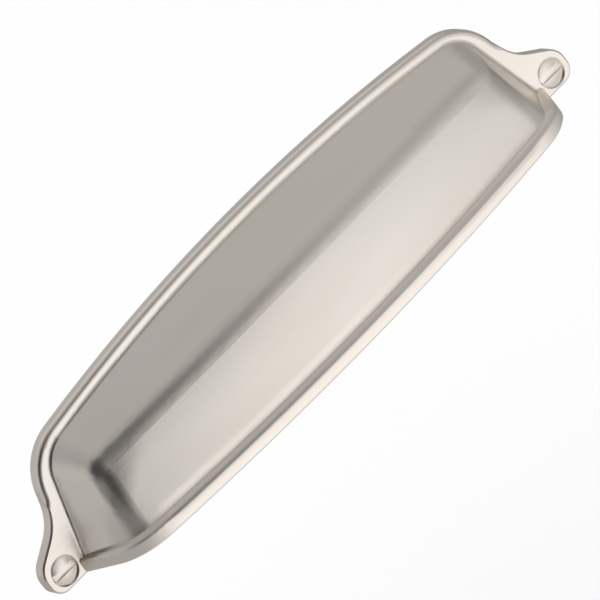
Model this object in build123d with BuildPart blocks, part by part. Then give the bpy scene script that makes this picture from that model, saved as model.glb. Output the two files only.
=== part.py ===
from build123d import *

import os
from math import cos, radians, sin, sqrt, tan

# Long cup pull: one cast cup with a screw ear at each end, and its two slotted screws.
#
# X runs along the pull, -Y points out of the drawer front and +Z is up. The origin
# lies on the drawer front, midway between the two screws, so every height is
# measured from the line through the screws. A "depth" is a distance out from the
# drawer front, towards -Y.

os.makedirs("parts", exist_ok=True)

# Overall layout
screw_spacing = 192.0
ear_drop = 4.95  # screw line down to the flush bottom edge
plate_top = 36.5  # screw line up to the top edge, at mid length
bow_radius = 500.0  # gentle bow shared by the top edge, the front and the lip

# Rim plate with its two ears
plate_depth = 4.2
shoulder_x = 85.0
shoulder_radius = 16.0
waist_x = 90.2
waist_height = 11.4
waist_radius = 14.0
ear_reach = 6.0  # past the screw
ear_slope_height = 3.7
ear_tip_radius = 6.0
ear_heel_radius = 4.0
edge_bevel = 0.45  # round the ears, along the flush bottom and under the lip
rim_roll_radius = 1.7  # rolled edge along the top and over the shoulders
rim_roll_end = 14.5  # height at which the rolled edge runs out, above each ear
rim_roll_sweep = 5.0  # bend by which it leaves the outline there

# Rolled lip that runs round the bottom of the hood from ear to ear
lip_depth = 31.3  # at mid length
lip_foot_x = 91.6  # half width of the lip where it meets the plate
lip_side_slope = 22.0  # degrees, lip ends against the outward direction
lip_corner_radius = 16.0
lip_height = 4.3
lip_roll_radius = 1.1

# Hollow hood that rises from the plate and the lip
side_shelf = 1.0  # the lip stands this far outside the hood at the plate
front_shelf = 3.7  # and this far in front of it, at mid length
rim_band = 3.0  # the plate shows this far above the hood, at mid length
side_lean = 0.30  # how fast the hood narrows towards the top
top_slope = 33.4  # degrees, top panel against the outward direction
end_slope = 28.0  # degrees, end panels against the outward direction
front_tilt = 15.4  # degrees, the front panel leans back as it rises
hood_corner_radius = 10.0  # between top and end panels, at the plate
hood_far_corner_radius = 1.0  # the same corner, tighter towards the front
hood_far_depth = 33.0
front_edge_radius = 9.0
cove_radius = 1.3  # along the foot of the hood, on the plate
wall = 2.2
inner_edge_bevel = 2.6  # behind the rounded edge of the front
overrun = 8.0  # how far cutting and trimmed solids run past the faces they end at

# Screws and their countersunk holes
seat_radius = 4.25
head_radius = 3.75
head_rim = 0.9
neck_radius = 1.85
thread_radius = 2.1
thread_clearance = 0.2
screw_length = 12.7  # from the top of the head's cone to the point
tip_length = 3.5
slot_width = 1.8
slot_depth = 1.1

# The ears end past the screws
ear_tip_x = screw_spacing / 2 + ear_reach


def bow_drop(x):
    """How far the bow falls back at this distance from the middle."""
    return x**2 / (2 * bow_radius)


def bow_corner(reach, drift):
    """Distance from the middle at which a side that drifts inwards meets the bow."""
    return 2 * reach / (1 + sqrt(1 - 2 * drift * reach / bow_radius))


def bowed_outline(corners, radii):
    """Symmetric outline under the bowed top edge, on the drawer front."""
    mirrored = [(-x, z) for x, z in corners]
    with BuildSketch(Plane.XZ) as outline:
        with BuildLine():
            ThreePointArc(mirrored[0], (0, plate_top), corners[0])
            Polyline(*corners, *reversed(mirrored))
        make_face()
        for (x, z), radius in zip(corners, radii):
            pair = outline.vertices().filter_by(
                lambda v: abs(abs(v.X) - x) < 0.01 and abs(v.Y - z) < 0.01
            )
            fillet(pair, radius)
    return outline.sketch


def rolled_form():
    """Wide slab with the plate's top and shoulders, rolled over along them.

    Its outline leaves the plate's above each ear, and there the roll fades out.
    """
    shoulder_z = plate_top - bow_drop(shoulder_x)
    share = (shoulder_z - rim_roll_end) / (shoulder_z - waist_height)
    leave_x = shoulder_x + share * (waist_x - shoulder_x)
    reach = ear_tip_x + overrun
    corners = [
        (shoulder_x, shoulder_z),
        (leave_x, rim_roll_end),
        (reach, rim_roll_end),
        (reach, -ear_drop - overrun),
    ]
    with BuildPart() as form:
        extrude(bowed_outline(corners, [shoulder_radius, rim_roll_sweep]), amount=plate_depth)
        fillet(form.faces().sort_by(Axis.Y)[0].edges(), rim_roll_radius)
    return form.part


def hood_section(depth, inset, corner_radius):
    """Cross-section of the hood at one depth, narrowed all round by the inset."""
    top_lean = radians(top_slope)
    end_lean = radians(end_slope)
    rise = depth - plate_depth
    top = plate_top - rim_band - rise * tan(top_lean) - inset / cos(top_lean)
    foot_x = lip_foot_x - side_shelf - rise * tan(end_lean) - inset / cos(end_lean)
    corner_x = bow_corner(foot_x - side_lean * (top + ear_drop), side_lean)
    corner_z = top - bow_drop(corner_x)
    low_x = foot_x + side_lean * overrun
    low_z = -ear_drop - overrun
    with BuildSketch(Plane.XZ.offset(depth)) as section:
        with BuildLine():
            ThreePointArc((-corner_x, corner_z), (0, top), (corner_x, corner_z))
            Polyline(
                (corner_x, corner_z), (low_x, low_z), (-low_x, low_z), (-corner_x, corner_z)
            )
        make_face()
        fillet(section.vertices().sort_by(Axis.Y)[-2:], corner_radius)
    return section.sketch


def hood_form(start_depth, inset):
    """Pillow of the hood: two sections joined, then cut off by the bowed front."""
    lean = radians(front_tilt)
    front_depth = lip_depth - front_shelf - inset / cos(lean)
    bow_axis = Plane(
        (0, bow_radius * cos(lean) - front_depth, -bow_radius * sin(lean)),
        x_dir=(1, 0, 0),
        z_dir=(0, sin(lean), cos(lean)),
    )
    with BuildPart() as form:
        add(hood_section(start_depth, inset, hood_corner_radius - inset))
        add(hood_section(hood_far_depth, inset, hood_far_corner_radius))
        loft(ruled=True)
        with Locations(bow_axis):
            Cylinder(bow_radius, screw_spacing, mode=Mode.INTERSECT)
        front = form.faces().sort_by(Axis.Y)[0]
        edges = front.edges().sort_by(Axis.Z)[1:]
        if inset:
            chamfer(edges, inner_edge_bevel)
        else:
            fillet(edges, front_edge_radius)
    return form.part


def lip_outline():
    """Plan of the lip: a side, a corner, the bowed front, a corner and a side."""
    drift = tan(radians(lip_side_slope))
    corner_x = bow_corner(lip_foot_x - drift * (lip_depth - plate_depth), drift)
    corner_depth = lip_depth - bow_drop(corner_x)
    start_depth = plate_depth / 2
    start_x = lip_foot_x + drift * (plate_depth - start_depth)
    with BuildSketch(Plane.XY.offset(-ear_drop)) as plan:
        with BuildLine():
            ThreePointArc((-corner_x, -corner_depth), (0, -lip_depth), (corner_x, -corner_depth))
            Polyline(
                (corner_x, -corner_depth),
                (start_x, -start_depth),
                (-start_x, -start_depth),
                (-corner_x, -corner_depth),
            )
        make_face()
        fillet(plan.vertices().sort_by(Axis.Y)[:2], lip_corner_radius)
    return plan.sketch


def lip_form():
    """Slab under the hood, rolled over along its upper edge and eased below."""
    with BuildPart() as form:
        extrude(lip_outline(), amount=lip_height)
        fillet(form.faces().sort_by(Axis.Z)[-1].edges().sort_by(Axis.Y)[:-1], lip_roll_radius)
        chamfer(form.faces().sort_by(Axis.Z)[0].edges().sort_by(Axis.Y)[:-1], edge_bevel)
    return form.part


ear_corners = [
    (shoulder_x, plate_top - bow_drop(shoulder_x)),
    (waist_x, waist_height),
    (ear_tip_x, ear_slope_height),
    (ear_tip_x, -ear_drop),
]
ear_radii = [shoulder_radius, waist_radius, ear_tip_radius, ear_heel_radius]

# The cup: plate, hood and lip cast as one piece, hollow from below and behind
with BuildPart() as cup:
    extrude(bowed_outline(ear_corners, ear_radii), amount=plate_depth)
    chamfer(cup.faces().sort_by(Axis.Y)[0].edges(), edge_bevel)
    add(rolled_form(), mode=Mode.INTERSECT)
    add(hood_form(plate_depth, 0))
    split(bisect_by=Plane.XY.offset(-ear_drop), keep=Keep.TOP)
    add(lip_form())
    face = cup.faces().filter_by(lambda f: f.is_planar and abs(f.center().Y + plate_depth) < 0.01)
    foot = face.sort_by(SortBy.AREA)[-1].edges().filter_by(Edge.is_interior)
    fillet(foot.filter_by(lambda e: e.center().Z > 1), cove_radius)
    add(hood_form(-wall, wall), mode=Mode.SUBTRACT)
    with Locations(Plane.XZ.offset(plate_depth)):
        with GridLocations(screw_spacing, 1, 2, 1):
            CounterSinkHole(thread_radius + thread_clearance, seat_radius, plate_depth, 90)

cup.part.label = "cup"
export_step(cup.part, "parts/cup.step")

# Two slotted wood screws. Both cones are 90 degrees, so each head touches its seat
# all round, a little below the face of the ear, and its rim stands above the face.
cone_depth = plate_depth - (seat_radius - head_radius)
face_depth = cone_depth + head_rim
neck_depth = cone_depth - (head_radius - neck_radius)
for name, screw_x in (("screw_left", -screw_spacing / 2), ("screw_right", screw_spacing / 2)):
    with BuildPart() as screw:
        with BuildSketch(Plane.XY):
            with BuildLine():
                Polyline(
                    (screw_x, -face_depth),
                    (screw_x + head_radius, -face_depth),
                    (screw_x + head_radius, -cone_depth),
                    (screw_x + neck_radius, -neck_depth),
                    (screw_x + neck_radius, 0),
                    (screw_x + thread_radius, 0),
                    (screw_x + thread_radius, screw_length - tip_length - cone_depth),
                    (screw_x, screw_length - cone_depth),
                    close=True,
                )
            make_face()
        revolve(axis=Axis((screw_x, 0, 0), (0, 1, 0)))
        with Locations((screw_x, slot_depth / 2 - face_depth, 0)):
            Box(2 * seat_radius, slot_depth, slot_width, mode=Mode.SUBTRACT)
    screw.part.label = name
    export_step(screw.part, f"parts/{name}.step")
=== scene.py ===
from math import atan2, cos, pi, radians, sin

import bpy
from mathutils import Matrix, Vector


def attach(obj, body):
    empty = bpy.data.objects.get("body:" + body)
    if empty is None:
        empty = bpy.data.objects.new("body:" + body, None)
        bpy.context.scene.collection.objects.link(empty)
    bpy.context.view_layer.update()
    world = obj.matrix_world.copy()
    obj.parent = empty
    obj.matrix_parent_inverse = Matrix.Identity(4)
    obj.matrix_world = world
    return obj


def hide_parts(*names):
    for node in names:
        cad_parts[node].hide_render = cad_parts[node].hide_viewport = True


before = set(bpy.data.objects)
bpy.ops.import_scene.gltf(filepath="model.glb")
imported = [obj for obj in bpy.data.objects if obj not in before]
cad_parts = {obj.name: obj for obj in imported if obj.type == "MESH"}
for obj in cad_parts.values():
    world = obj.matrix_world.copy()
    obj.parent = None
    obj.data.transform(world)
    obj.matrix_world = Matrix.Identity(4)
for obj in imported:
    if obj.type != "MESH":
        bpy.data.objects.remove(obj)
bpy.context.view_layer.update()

# %% [markdown]
# # A long satin nickel cup pull
#
# The pull is one hollow zinc casting, nickel plated and brushed, held to a drawer front
# by a slotted wood screw through each ear. The fixed model is loaded above: X runs along
# the pull, -Y points out of the drawer front and Z is up. Everything here is in metres.

print("nodes:", sorted(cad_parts))

# %% [markdown]
# ## The camera
#
# A long pull is best looked at through a long lens, so that the far end doesn't shrink.
# The camera stands left of the middle and above it, and is rolled so that the pull runs
# up the frame. The three directions of the view are worked out from those angles and put
# in the camera's matrix, because a rolled view is hard to aim by turning three angles by
# hand.

# %% Camera on the left, above, and rolled
camera_left = radians(20.28)
camera_above = radians(22.42)
camera_roll = radians(37.6)
camera_distance = 2.2
focal_length = 503.5
aim_height = -0.00495  # the flush bottom edge of the pull
shift_right = 0.003716
shift_up = -0.008133

towards_camera = Vector((
    -sin(camera_left) * cos(camera_above),
    -cos(camera_left) * cos(camera_above),
    sin(camera_above),
))
level_right = Vector((cos(camera_left), -sin(camera_left), 0))
level_up = towards_camera.cross(level_right)
frame_right = level_right * cos(camera_roll) - level_up * sin(camera_roll)
frame_up = level_right * sin(camera_roll) + level_up * cos(camera_roll)
aim = Vector((0, 0, aim_height)) - frame_right * shift_right - frame_up * shift_up

camera_data = bpy.data.cameras.new("camera")
camera_data.lens = focal_length
camera_data.clip_end = 20
camera = bpy.data.objects.new("camera", camera_data)
bpy.context.scene.collection.objects.link(camera)
turn = Matrix((frame_right, frame_up, towards_camera)).transposed().to_4x4()
camera.matrix_world = Matrix.Translation(aim + towards_camera * camera_distance) @ turn
bpy.context.scene.camera = camera
print("camera at", tuple(round(c, 3) for c in camera.location))

# %% [markdown]
# ## Floor and room
#
# The pull floats over a wide white floor in a white room, so nothing but the metal itself
# gives any tone, and the floor takes only a faint soft shadow. The colours are shown as
# they are written, with the Standard view.

# %% White room and white floor
bpy.context.scene.view_settings.view_transform = "Standard"
bpy.ops.object.select_all(action="DESELECT")

world = bpy.data.worlds.new("white room")
bpy.context.scene.world = world
world.use_nodes = True
room = world.node_tree.nodes["Background"]
room.inputs["Color"].default_value = (1, 1, 1, 1)
room.inputs["Strength"].default_value = 1.0

floor_height = -0.13
bpy.ops.mesh.primitive_plane_add(size=8)
floor = bpy.context.object
floor.name = "floor"
floor.data.transform(Matrix.Translation((0, 0, floor_height)))
floor_paint = bpy.data.materials.new("white floor")
floor_paint.use_nodes = True
paint = floor_paint.node_tree.nodes["Principled BSDF"]
paint.inputs["Base Color"].default_value = (0.99, 0.99, 0.99, 1)
paint.inputs["Roughness"].default_value = 0.9
floor.data.materials.append(floor_paint)
print("floor at", floor_height)

# %% [markdown]
# ## What the metal sees
#
# Bare metal has no shade of its own: it only mirrors the room. A studio therefore builds
# a tent round a piece like this, and what hangs in the tent draws the piece. Three things
# hang in this one: a white sheet low in front, which fills the lip, the ears and the front
# of the hood; a gap beside it that gets darker towards the left, which draws the creases;
# and grey sheets above and behind, for the top and the ends of the hood. The tent is a
# ball with a flat bottom close under the pull. Only mirrored rays see it, so the floor and
# its soft shadow stay as they are.

# %% Tent round the pull
tent_radius = 0.6
tent_bottom = -0.055
bpy.ops.mesh.primitive_uv_sphere_add(segments=64, ring_count=32, radius=tent_radius)
tent = bpy.context.object
tent.name = "tent"
bpy.ops.object.mode_set(mode="EDIT")
bpy.ops.mesh.bisect(
    plane_co=(0, 0, tent_bottom), plane_no=(0, 0, 1), clear_inner=True, use_fill=True
)
bpy.ops.object.mode_set(mode="OBJECT")
for kind in ("camera", "diffuse", "shadow", "transmission"):
    setattr(tent, "visible_" + kind, False)
print("tent faces:", len(tent.data.polygons))

# %% [markdown]
# Materials are node trees, and a few small helpers make them easier to read. The first
# adds a node, sets what is given by name, and joins the inputs that are given as outputs
# of other nodes. The others each build on it: a ramp of greys, a range stretched to
# another range, a sum or product, and a blend of two colours.

# %% Helpers that add shader nodes
def add_node(tree, kind, inputs=(), **settings):
    node = tree.nodes.new("ShaderNode" + kind)
    for key, value in settings.items():
        setattr(node, key, value)
    for key, value in dict(inputs).items():
        if isinstance(value, bpy.types.NodeSocket):
            tree.links.new(value, node.inputs[key])
        else:
            node.inputs[key].default_value = value
    return node


def grey(level):
    return (level, level, level, 1)


def add_ramp(tree, factor, stops):
    node = add_node(tree, "ValToRGB", {"Fac": factor})
    ramp = node.color_ramp
    ramp.interpolation = "EASE"
    while len(ramp.elements) < len(stops):
        ramp.elements.new(0.5)
    for element, (position, level) in zip(ramp.elements, stops):
        element.position = position
        element.color = grey(level)
    return node.outputs["Color"]


def span(tree, value, low, high, to_low=0.0, to_high=1.0, smooth=False):
    inputs = {
        "Value": value, "From Min": low, "From Max": high, "To Min": to_low, "To Max": to_high
    }
    kind = "SMOOTHSTEP" if smooth else "LINEAR"
    return add_node(tree, "MapRange", inputs, interpolation_type=kind).outputs[0]

# %% Helpers that reckon and blend
def reckon(tree, operation, *values):
    return add_node(tree, "Math", dict(enumerate(values)), operation=operation).outputs[0]


def times(tree, first, *others):
    for other in others:
        first = reckon(tree, "MULTIPLY", first, other)
    return first


def plus(tree, first, second):
    return reckon(tree, "ADD", first, second)


def blend(tree, factor, first, second, most=1.0):
    if most < 1:
        factor = times(tree, factor, most)
    inputs = {"Factor": factor, "A": first, "B": second}
    return add_node(tree, "Mix", inputs, data_type="RGBA").outputs["Result"]


def along_direction(tree, direction, axis):
    inputs = {0: direction, 1: axis}
    return add_node(tree, "VectorMath", inputs, operation="DOT_PRODUCT").outputs["Value"]

# %% [markdown]
# The tent's cloth glows, and how brightly depends on the direction in which it hangs,
# which is its own place made one unit long. The white sheet is a round patch: its ramp
# runs on how near the direction is to the sheet's middle. Under the sheet lies the gap,
# whose ramp runs from left to right.

# %% White sheet in front, over the gap
tent_cloth = bpy.data.materials.new("tent cloth")
tent_cloth.use_nodes = True
tree = tent_cloth.node_tree
tree.nodes.clear()
place = add_node(tree, "TexCoord").outputs["Object"]
direction = add_node(tree, "VectorMath", {0: place}, operation="NORMALIZE").outputs[0]
towards = add_node(tree, "SeparateXYZ", {0: direction}).outputs
sideways = span(tree, towards["X"], -1.0, 1.0)

front_sheet_middle = (0.320, -0.867, -0.381)
front_sheet_stops = [
    (0.30, 0.0), (0.45, 0.09), (0.60, 0.25), (0.73, 0.50), (0.80, 0.69), (0.88, 0.80), (0.97, 1.0)
]
gap_stops = [(0.20, 0.03), (0.38, 0.05), (0.50, 0.10), (0.57, 0.18), (0.66, 0.37), (0.75, 0.42)]
front_sheet = add_ramp(
    tree, along_direction(tree, direction, front_sheet_middle), front_sheet_stops
)
front = blend(tree, front_sheet, add_ramp(tree, sideways, gap_stops), grey(1.0))
far_right = span(tree, sideways, 0.66, 0.82, smooth=True)
front = blend(tree, far_right, front, grey(0.0), most=0.16)
print("front sheet stops:", len(front_sheet_stops), "gap stops:", len(gap_stops))

# %% [markdown]
# The grey sheets hang above and behind. One end of each is paler than the other, so the
# two ends of the hood don't look alike. Where their front edge hangs decides how wide the
# dark crease between the top and the front of the hood looks, so the edge slants: it is
# moved back on the left, and forward again at the upper left corner.

# %% Grey sheets above and behind
back_sheet = blend(tree, sideways, grey(0.50), grey(0.31))
top_sheet = blend(tree, sideways, grey(0.35), grey(0.46))
behind = span(tree, towards["Y"], 0.10, 0.32, smooth=True)
top_sheet = blend(tree, behind, top_sheet, grey(0.80), most=0.5)
overhead = span(tree, towards["Z"], 0.45, 0.80, smooth=True)
grey_sheets = blend(tree, overhead, back_sheet, top_sheet)

edge_slope = (0.0, 1.0, 0.25)
slant = span(tree, towards["X"], 0.05, 0.32, 0.14, -0.05)
corner = times(
    tree,
    span(tree, towards["X"], -0.2, -0.5, 0.0, -0.16),
    span(tree, towards["Z"], 0.25, 0.50),
)
edge = plus(tree, along_direction(tree, direction, edge_slope), plus(tree, slant, corner))
walls = blend(tree, span(tree, edge, -0.15, -0.03, smooth=True), front, grey_sheets)
print("nodes so far:", len(tree.nodes))

# %% [markdown]
# The tent's flat bottom is a table so close under the pull that its direction changes
# from one end of the pull to the other. It is therefore painted by place: white in front,
# grey under the pull, and darker towards both ends, which shades the ends of the lip.

# %% Table under the pull
spot = add_node(tree, "SeparateXYZ", {0: place}).outputs
table_stops = [(0.0, 0.34), (0.45, 0.56), (1.0, 1.0)]
table = add_ramp(tree, span(tree, spot["Y"], 0.05, -0.12), table_stops)
table_right = span(tree, spot["X"], 0.15, 0.27, smooth=True)
table_left = span(tree, spot["X"], -0.07, -0.20)
left_corner = times(
    tree,
    span(tree, spot["X"], -0.12, -0.20, smooth=True),
    span(tree, spot["Y"], -0.15, -0.22, smooth=True),
)
table = blend(tree, table_right, table, grey(0.0), most=0.5)
table = blend(tree, table_left, table, grey(0.36))
table = blend(tree, left_corner, table, grey(0.05))

low_down = span(tree, spot["Z"], -0.035, -0.054)
tent_glow = 1.15
glow = add_node(
    tree, "Emission", {"Color": blend(tree, low_down, walls, table), "Strength": tent_glow}
)
add_node(tree, "OutputMaterial", {"Surface": glow.outputs[0]})
tent.data.materials.append(tent_cloth)
print("tent nodes:", len(tree.nodes))

# %% [markdown]
# ## Satin nickel on the cup
#
# The casting is polished on a belt, brushed lengthwise, plated with nickel and lacquered.
# Four things make that finish: a warm pale metal, fine brush lines that run along the
# pull, the shallow waves that polishing leaves on a large cast face, and the polisher's
# strokes across the two end creases, where the belt turns. All four are made from object
# coordinates, which are metres on the pull itself, so the lines keep their real size.

# %% Streaks in real size
def streaks(tree, per_metre, turn=0.0, detail=3.0):
    metres = add_node(tree, "TexCoord").outputs["Object"]
    stretched = add_node(
        tree, "Mapping", {"Vector": metres, "Rotation": (0, turn, 0), "Scale": per_metre}
    )
    inputs = {"Vector": stretched.outputs[0], "Scale": 1.0, "Detail": detail}
    return add_node(tree, "TexNoise", inputs).outputs["Fac"]

# %% [markdown]
# Polishing also softens the casting. The front of the hood rounds off slowly towards the
# top and, widest near the upper corners, towards both ends. Along its foot it stands
# upright again, which draws a bright line there. The lip is rounder along its upper edge
# than it was cast, and the narrow shelf above it falls away outwards. Each of these is a
# few tenths of a millimetre high, so each is drawn by a bump in metres, whose slope turns
# the mirror a little. A mask keeps each one to its own face.
#
# Both ends are alike, so places are told by how far out they are from the middle, how
# deep in front of the drawer, and how high. The last measure, the bow, is how much the
# long curved edges have fallen back at that distance from the middle.

# %% Places on the pull, in metres
def places(tree):
    metres = add_node(tree, "TexCoord").outputs["Object"]
    part = add_node(tree, "SeparateXYZ", {0: metres}).outputs
    out = reckon(tree, "ABSOLUTE", part["X"])
    depth = times(tree, part["Y"], -1.0)
    bow = reckon(tree, "POWER", out, 2.0)
    return out, depth, part["Z"], bow

# %% How far polishing rounded the front
front_crown = 0.0009
crease_out = 0.0775
crease_turn = 0.075


def rounded_front(tree):
    out, depth, up, bow = places(tree)
    rise = span(tree, up, 0.002, 0.024)
    crown = times(tree, reckon(tree, "POWER", rise, 3.0), -front_crown)

    reach = span(tree, up, 0.004, 0.022, 0.003, 0.023, smooth=True)
    near_end = reckon(tree, "MINIMUM", out, 0.0800)
    along = reckon(tree, "DIVIDE", reckon(tree, "SUBTRACT", near_end, crease_out), reach)
    along = span(tree, along, -1.0, 1.0, 0.0, 2.0)
    ends = times(tree, reckon(tree, "POWER", along, 3.0), reach, -crease_turn)

    inside = times(
        tree,
        span(tree, depth, 0.014, 0.017, smooth=True),
        span(tree, out, 0.0795, 0.0765, smooth=True),
        span(tree, plus(tree, up, bow), 0.0250, 0.0212, smooth=True),
        span(tree, up, -0.0006, -0.0004),
    )
    return plus(tree, crown, ends), inside

# %% How it left the foot of the front
foot_slope = 0.13


def upright_foot(tree):
    out, depth, up, bow = places(tree)
    inside = times(
        tree,
        span(tree, up, 0.0022, 0.0006),
        span(tree, up, -0.0007, -0.0006),
        span(tree, out, 0.076, 0.068),
        span(tree, depth, 0.020, 0.021),
    )
    return times(tree, up, foot_slope), inside

# %% How far it rounded the lip
lip_crown = 0.00045


def rounded_lip(tree):
    out, depth, up, bow = places(tree)
    rise = span(tree, up, -0.0040, -0.0012)
    inside = times(
        tree,
        span(tree, depth, 0.005, 0.006),
        span(tree, up, -0.0007, -0.0010),
        span(tree, out, 0.076, 0.068, smooth=True),
    )
    return times(tree, reckon(tree, "POWER", rise, 3.0), -lip_crown), inside

# %% How the shelf above the lip falls away
shelf_slope = 0.45
end_facing = (0.93, 0.37)  # how far a shelf end looks outwards and forwards
end_start = 0.0585


def sloping_shelf(tree):
    out, depth, up, bow = places(tree)
    end_part = plus(tree, times(tree, out, end_facing[0]), times(tree, depth, end_facing[1]))
    outward = reckon(
        tree, "MAXIMUM", plus(tree, depth, bow), plus(tree, end_part, -end_start)
    )
    inside = times(
        tree,
        span(tree, up, -0.00085, -0.0007),
        span(tree, up, -0.0005, -0.0006),
        span(tree, depth, 0.005, 0.006),
    )
    return times(tree, outward, -shelf_slope), inside

# %% [markdown]
# Now the material itself. Wide soft patches vary its tone a little, as worn brushing does,
# and the brush lines vary its gloss. Low on the end creases the belt can't reach, so the
# metal is rougher there and the dark crease fades into grey.

# %% Tone and gloss of the cup
cup_metal = bpy.data.materials.new("cup nickel")
cup_metal.use_nodes = True
tree = cup_metal.node_tree
metal = tree.nodes["Principled BSDF"]
metal.inputs["Metallic"].default_value = 1

brush_lines = streaks(tree, (25, 1100, 1100))
brush_patches = span(tree, streaks(tree, (14, 60, 60), detail=2.0), 0.35, 0.65)
darker_nickel = (0.845, 0.778, 0.708, 1)
paler_nickel = (0.876, 0.816, 0.750, 1)
tone = blend(tree, brush_patches, darker_nickel, paler_nickel)
tree.links.new(tone, metal.inputs["Base Color"])

out, depth, up, bow = places(tree)
low_crease = times(
    tree,
    span(tree, out, 0.070, 0.076),
    span(tree, depth, 0.012, 0.015),
    span(tree, up, 0.013, 0.002, smooth=True),
)
satin = span(tree, brush_lines, 0.3, 0.7, 0.276, 0.31)
tree.links.new(plus(tree, satin, times(tree, low_crease, 0.19)), metal.inputs["Roughness"])
print("cup nickel nodes so far:", len(tree.nodes))

# %% [markdown]
# The softened faces come first, each blended in by its mask, and the finer bumps lie on
# top of them: waves, then brush lines, then the strokes near the ends. Each bump takes
# the one before it as the surface that it stands on.

# %% Softened faces, waves, lines and strokes
normal = add_node(tree, "NewGeometry").outputs["Normal"]
for softened in (rounded_front, upright_foot, rounded_lip, sloping_shelf):
    height, inside = softened(tree)
    turned = add_node(tree, "Bump", {"Height": height, "Strength": 1.0, "Distance": 1.0})
    inputs = {"Factor": inside, 4: normal, 5: turned.outputs[0]}
    normal = add_node(tree, "Mix", inputs, data_type="VECTOR").outputs[1]


def add_bump(tree, height, metres, normal):
    inputs = {"Height": height, "Strength": 1.0, "Distance": metres, "Normal": normal}
    return add_node(tree, "Bump", inputs).outputs[0]


waves = streaks(tree, (16, 34, 34), detail=1.0)
strokes = streaks(tree, (150, 2400, 2400), turn=radians(6), detail=2.0)
near_ends = span(tree, out, 0.045, 0.075, smooth=True)
normal = add_bump(tree, waves, 0.0006, normal)
normal = add_bump(tree, brush_lines, 0.000018, normal)
normal = add_bump(tree, times(tree, strokes, near_ends), 0.00002, normal)
tree.links.new(normal, metal.inputs["Normal"])

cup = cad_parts["cup"]
cup.data.materials.clear()
cup.data.materials.append(cup_metal)
print("cup nickel nodes:", len(tree.nodes), "cup faces:", len(cup.data.polygons))

# %% [markdown]
# ## The two screws
#
# Each ear is held by a slotted wood screw with an oval head: a low dome over a
# countersunk cone. Such a screw is turned, so its head is made the same way here: half of
# its outline is drawn point by point from one vertex, and then spun round the screw's
# axis. The outline's cone is the fixed model's, so the head sits in the countersink.
#
# Merging the spun points can leave them in another order each time, and the saw cut would
# then divide a few faces another way. So they are sorted by their distance from a spot
# off to one side, and the script gives the same screw each run.

# %% Sizes of a screw
screw_x = 0.096
head_radius = 0.00375
head_base = 0.0037
dome_height = 0.00075
neck_radius = 0.00185
crest_radius = 0.0021
root_radius = 0.0015
tip_start = 0.0055
point_at = 0.0090
thread_pitch = 0.0017
slot_width = 0.0019
slot_floor = 0.0036
slot_bevel = 0.00009
print("top of the dome, from the drawer front:", round(head_base + dome_height, 5))

# %% Helpers that draw an outline and spin it
def draw_outline(name, points):
    bpy.ops.object.select_all(action="DESELECT")
    bpy.ops.mesh.primitive_plane_add(size=0.001)
    drawn = bpy.context.object
    drawn.name = drawn.data.name = name
    bpy.ops.object.mode_set(mode="EDIT")
    bpy.ops.mesh.select_mode(type="VERT")
    bpy.ops.mesh.select_all(action="SELECT")
    bpy.ops.mesh.merge(type="CENTER")
    last = Vector(points[0])
    bpy.ops.transform.translate(value=last)
    for point in points[1:]:
        step = Vector(point) - last
        bpy.ops.mesh.extrude_region_move(TRANSFORM_OT_translate={"value": step})
        last = Vector(point)
    bpy.ops.object.mode_set(mode="OBJECT")
    return drawn


def settle_order():
    bpy.context.scene.cursor.location = (0.031, -0.047, 0.013)
    bpy.ops.mesh.sort_elements(type="CURSOR_DISTANCE", elements={"VERT", "EDGE", "FACE"})
    bpy.context.scene.cursor.location = (0, 0, 0)


def close_up():
    bpy.ops.mesh.select_all(action="SELECT")
    bpy.ops.mesh.normals_make_consistent(inside=False)
    bpy.ops.object.mode_set(mode="OBJECT")


def spin_outline(drawn, steps):
    bpy.ops.object.mode_set(mode="EDIT")
    bpy.ops.mesh.select_all(action="SELECT")
    bpy.ops.mesh.spin(steps=steps, angle=2 * pi, center=(0, 0, 0), axis=(0, 1, 0))
    bpy.ops.mesh.select_all(action="SELECT")
    bpy.ops.mesh.remove_doubles(threshold=0.00001)
    settle_order()
    close_up()
    return drawn

# %% Helper that applies a modifier
def apply_modifier(piece, kind, **settings):
    bpy.ops.object.select_all(action="DESELECT")
    piece.select_set(True)
    bpy.context.view_layer.objects.active = piece
    modifier = piece.modifiers.new(kind.lower(), kind)
    for key, value in settings.items():
        setattr(modifier, key, value)
    bpy.ops.object.modifier_apply(modifier=modifier.name)

# %% Head and neck, turned
dome_steps = 8
dome_radius = (head_radius**2 + dome_height**2) / (2 * dome_height)
dome_angle = atan2(head_radius, dome_radius - dome_height)
head_points = []
for step in range(dome_steps + 1):
    angle = dome_angle * step / dome_steps
    drop = dome_radius * (1 - cos(angle))
    head_points.append((dome_radius * sin(angle), drop - head_base - dome_height, 0))
neck_start = -head_base + (head_radius - neck_radius)
neck_end = 0.0001
head_points += [(neck_radius, neck_start, 0), (neck_radius, neck_end, 0), (0, neck_end, 0)]
screw = spin_outline(draw_outline("oval_head", head_points), 72)
print("head faces:", len(screw.data.polygons))

# %% [markdown]
# The slot is sawn across the dome. A bar with the slot's width is taken away from the
# head, and a very small bevel then takes the sharpness off every edge that is left, which
# is what makes a slot catch the light.

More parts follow.
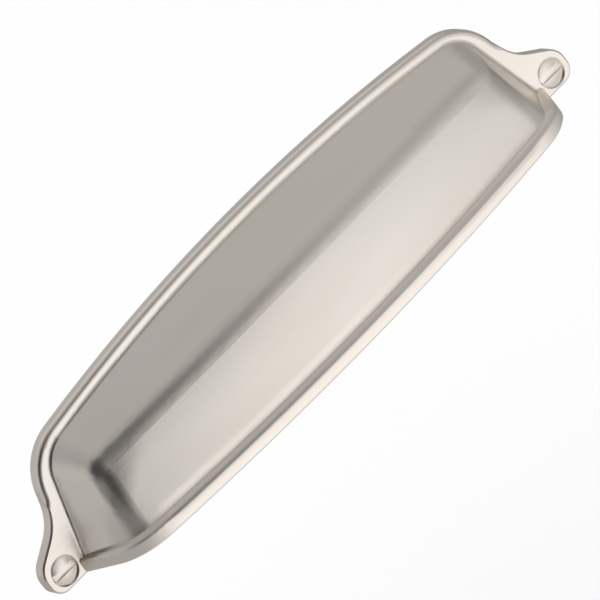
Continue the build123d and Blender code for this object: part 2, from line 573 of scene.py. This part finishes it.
# %% Slot sawn across the head
saw_length = 0.012
saw_depth = 0.004
bpy.ops.object.select_all(action="DESELECT")
bpy.ops.mesh.primitive_cube_add(size=1)
saw = bpy.context.object
saw.name = "saw"
bpy.ops.object.mode_set(mode="EDIT")
bpy.ops.mesh.select_all(action="SELECT")
bpy.ops.transform.resize(value=(saw_length, saw_depth, slot_width))
bpy.ops.transform.translate(value=(0, -slot_floor - saw_depth / 2, 0))
bpy.ops.object.mode_set(mode="OBJECT")
apply_modifier(screw, "BOOLEAN", operation="DIFFERENCE", object=saw, solver="EXACT")
bpy.data.objects.remove(saw)
apply_modifier(
    screw, "BEVEL", width=slot_bevel, segments=2, limit_method="ANGLE", angle_limit=radians(38)
)
print("head faces with slot:", len(screw.data.polygons))

# %% [markdown]
# The thread of a wood screw is one long helix, so the Screw modifier makes it from the
# outline of a single turn. Its blunt end is then trimmed to a point: only what lies inside
# a turned blank, with the screw's real length and tip, is kept.

# %% Thread wound
turn_shape = [
    (root_radius, 1.5), (root_radius, 1.1), (crest_radius, 0.92),
    (crest_radius, 0.86), (root_radius, 0.62), (root_radius, 0.5),
]
turn_points = [(radius, -thread_pitch * turns, 0) for radius, turns in turn_shape]
thread = draw_outline("thread", turn_points)
apply_modifier(
    thread,
    "SCREW",
    axis="Y",
    angle=2 * pi,
    screw_offset=thread_pitch,
    iterations=8,
    steps=32,
    render_steps=32,
    use_merge_vertices=True,
    merge_threshold=0.00001,
)
bpy.ops.object.mode_set(mode="EDIT")
bpy.ops.mesh.select_all(action="SELECT")
bpy.ops.mesh.remove_doubles(threshold=0.00001)
bpy.ops.mesh.fill_holes(sides=0)
close_up()
print("thread faces, wound:", len(thread.data.polygons))

# %% Thread trimmed to a point
blank_start = -0.0003
blank_points = [
    (0, blank_start, 0), (crest_radius, blank_start, 0), (crest_radius, tip_start, 0),
    (0, point_at, 0),
]
blank = spin_outline(draw_outline("blank", blank_points), 64)
apply_modifier(thread, "BOOLEAN", operation="INTERSECT", object=blank, solver="EXACT")
bpy.data.objects.remove(blank)
for i, axis in enumerate("XYZ"):
    values = [v.co[i] for v in thread.data.vertices]
    print("thread along", axis, round(min(values), 5), "to", round(max(values), 5))

# %% Head and thread joined, one screw in each ear
bpy.ops.object.select_all(action="DESELECT")
thread.select_set(True)
screw.select_set(True)
bpy.context.view_layer.objects.active = screw
bpy.ops.object.join()
bpy.ops.object.shade_smooth_by_angle(angle=radians(35))
other = screw.copy()
other.data = screw.data.copy()
bpy.context.scene.collection.objects.link(other)
screws = {"screw_left": (screw, -screw_x), "screw_right": (other, screw_x)}
for name, (piece, x) in screws.items():
    piece.name = piece.data.name = "oval_" + name
    piece.data.transform(Matrix.Translation((x, 0, 0)))
    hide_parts(name)
    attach(piece, "root")
    print(piece.name, "faces:", len(piece.data.polygons))

# %% [markdown]
# ## Satin nickel on the screws
#
# The heads are plated like the cup but were never brushed: the turning tool left fine
# rings round each head, and a screwdriver has rubbed them a little. The rings come from
# the distance to the nearer screw's axis, so they stay round on both screws.

# %% Rings round each head
screw_metal = bpy.data.materials.new("screw nickel")
screw_metal.use_nodes = True
tree = screw_metal.node_tree
metal = tree.nodes["Principled BSDF"]
metal.inputs["Metallic"].default_value = 1

out, depth, up, bow = places(tree)
inputs = {"X": reckon(tree, "SUBTRACT", out, screw_x), "Y": 0.0, "Z": up}
from_axis = add_node(tree, "CombineXYZ", inputs).outputs[0]
radius = add_node(tree, "VectorMath", {0: from_axis}, operation="LENGTH").outputs["Value"]
ring_place = add_node(tree, "CombineXYZ", {"X": radius}).outputs[0]
rings_per_metre = 5200.0
inputs = {"Vector": ring_place, "Scale": rings_per_metre, "Detail": 2.0}
rings = add_node(tree, "TexNoise", inputs).outputs["Fac"]
ring_bump = add_node(tree, "Bump", {"Height": rings, "Strength": 1.0, "Distance": 0.000004})
tree.links.new(ring_bump.outputs[0], metal.inputs["Normal"])
print("ring nodes:", len(tree.nodes))

# %% Rubbed tone and gloss, on both screws
rubbed = streaks(tree, (900, 900, 900), detail=2.0)
turned_nickel = (0.85, 0.787, 0.72, 1)
rubbed_nickel = (0.88, 0.82, 0.755, 1)
tone = blend(tree, span(tree, rubbed, 0.35, 0.65), turned_nickel, rubbed_nickel)
tree.links.new(tone, metal.inputs["Base Color"])
tree.links.new(span(tree, rubbed, 0.3, 0.7, 0.28, 0.32), metal.inputs["Roughness"])
for name, (piece, x) in screws.items():
    for dressed in (piece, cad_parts[name]):
        dressed.data.materials.clear()
        dressed.data.materials.append(screw_metal)
print("screw nickel nodes:", len(tree.nodes))
